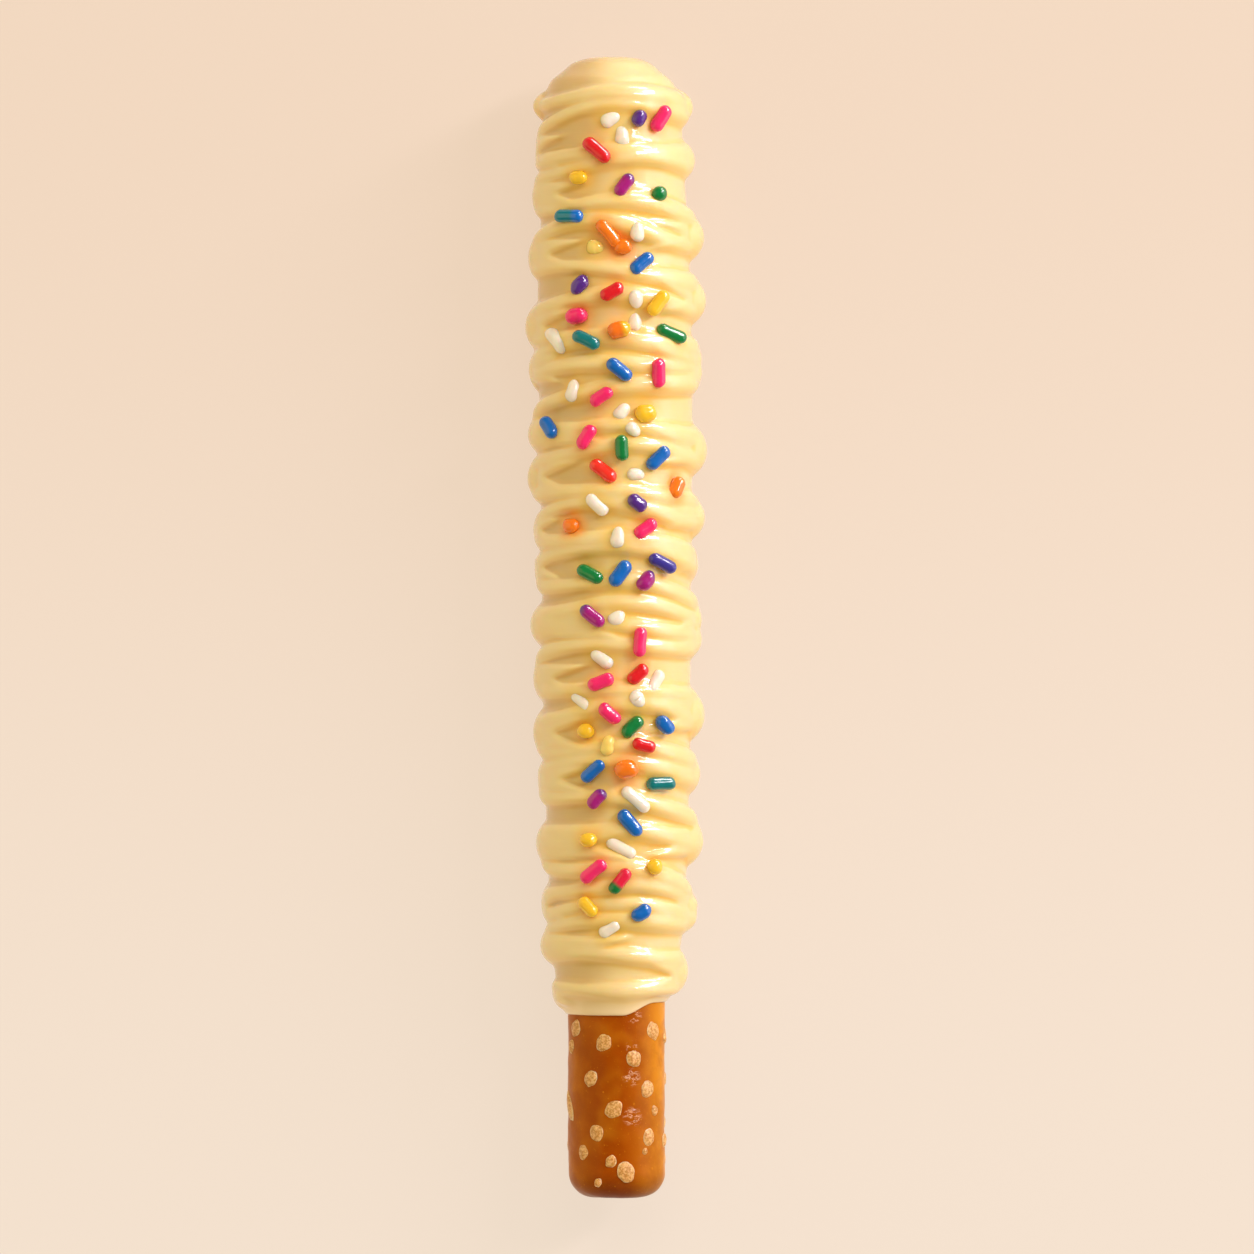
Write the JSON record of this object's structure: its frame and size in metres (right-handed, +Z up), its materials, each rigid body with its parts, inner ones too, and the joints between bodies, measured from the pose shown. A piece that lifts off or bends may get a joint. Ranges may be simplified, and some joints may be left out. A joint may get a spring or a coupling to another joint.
{
  "type": "chocolate covered pretzel rod",
  "caption": "Baked pretzel rod dipped in a pale yellow chocolate coat, with zigzag drizzle and rainbow sprinkles, lying on its flat back.",
  "frame": {"origin": "on the surface it lies on, under the middle of its length", "axes": "+Y along the rod towards the coated tip, +Z up out of the decorated side, +X to the right in the picture's view"},
  "size_m": [0.0271, 0.165, 0.0236],
  "materials": {
    "baked_crust": "glossy brown baked crust with tan grains of salt",
    "pale_coat": "smooth, soft gloss, with sprinkles in bright colours"
  },
  "bodies": {
    "root": {"pretzel_rod": "baked_crust", "chocolate_coating": "pale_coat"}
  },
  "joints": []
}
